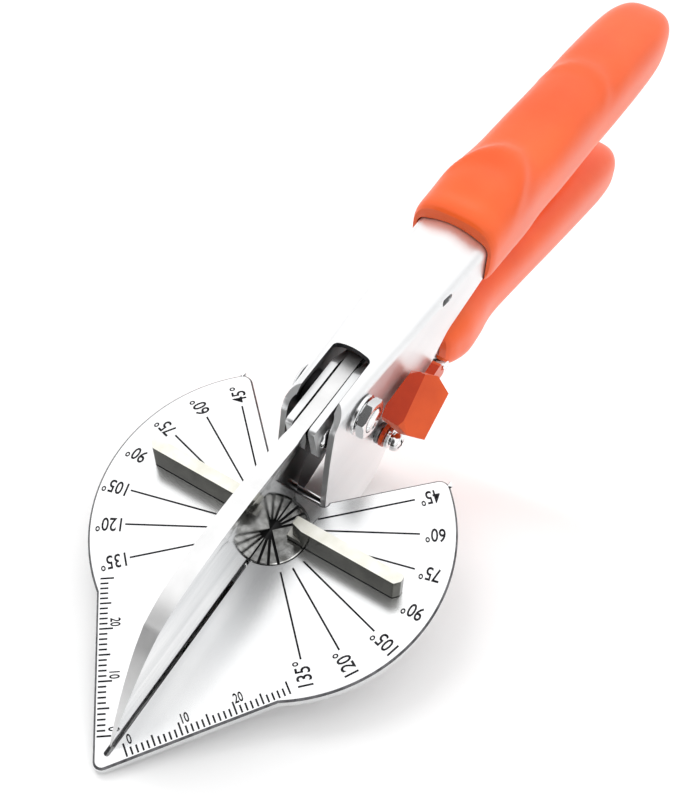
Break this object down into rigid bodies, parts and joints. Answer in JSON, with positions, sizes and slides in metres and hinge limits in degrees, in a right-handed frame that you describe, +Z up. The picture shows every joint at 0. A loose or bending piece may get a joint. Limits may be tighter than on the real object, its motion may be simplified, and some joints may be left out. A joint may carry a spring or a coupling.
{
  "type": "multi-angle mitre shears",
  "caption": "Angle-cutting hand shears with a pointed blade, a printed protractor plate with a turning fence, two orange grips and a thumb latch.",
  "frame": {"origin": "centre of the fence disc, on the working face of the protractor plate", "axes": "+X along the blade to the protractor's tip, +Z up out of the working face, +Y to the tool's left, the latch side"},
  "size_m": [0.2264, 0.07, 0.0663],
  "materials": {
    "chrome": "bright chrome plate",
    "polished_steel": "polished plate with printed scales",
    "blade_steel": "ground and polished",
    "fence_steel": "bright plated bar",
    "spring_steel": "dark oiled wire",
    "orange_grip": "glossy dipped PVC",
    "orange_latch": "glossy moulded plastic"
  },
  "bodies": {
    "body": {"base_plate": "polished_steel", "body_channel": "chrome", "jaw_rivet_front": "chrome", "jaw_rivet_rear": "chrome", "jaw_screw_1": "chrome", "jaw_screw_2": "chrome", "jaw_screw_3": "chrome", "jaw_screw_4": "chrome", "latch_nut": "chrome", "latch_screw": "chrome", "latch_washer_inner": "spring_steel", "latch_washer_outer": "chrome", "lower_jaw": "chrome", "pivot_bolt": "chrome", "pivot_nut": "chrome", "pivot_spacer_left": "chrome", "pivot_spacer_right": "chrome", "pivot_washer": "chrome", "return_spring": "spring_steel", "upper_grip": "orange_grip"},
    "lever": {"lever_channel": "chrome", "lower_grip": "orange_grip", "blade": "blade_steel", "blade_bolt_front": "chrome", "blade_bolt_rear": "chrome", "blade_nut_front": "chrome", "blade_nut_rear": "chrome", "catch_pin": "chrome"},
    "fence": {"fence_disc": "polished_steel", "fence_bar_left": "fence_steel", "fence_bar_right": "fence_steel", "fence_pin_left": "chrome", "fence_pin_right": "chrome", "fence_spring_washer": "spring_steel", "fence_hub_nut": "chrome"},
    "thumb_latch": {"latch": "orange_latch"}
  },
  "joints": [
    {"name": "lever_pivot", "type": "hinge", "parent": "body", "child": "lever", "pos_m": [-0.0215, 0, 0.0175], "axis": [0, -1, 0], "range_deg": [0, 30], "deforming": ["return_spring"]},
    {"name": "fence_turn", "type": "hinge", "parent": "body", "child": "fence", "pos_m": [0, 0, 0], "axis": [0, 0, 1], "range_deg": [-45, 45]},
    {"name": "latch_pivot", "type": "hinge", "parent": "body", "child": "thumb_latch", "pos_m": [-0.0286, 0.0082, 0.0015], "axis": [0, -1, 0], "range_deg": [0, 11]}
  ]
}
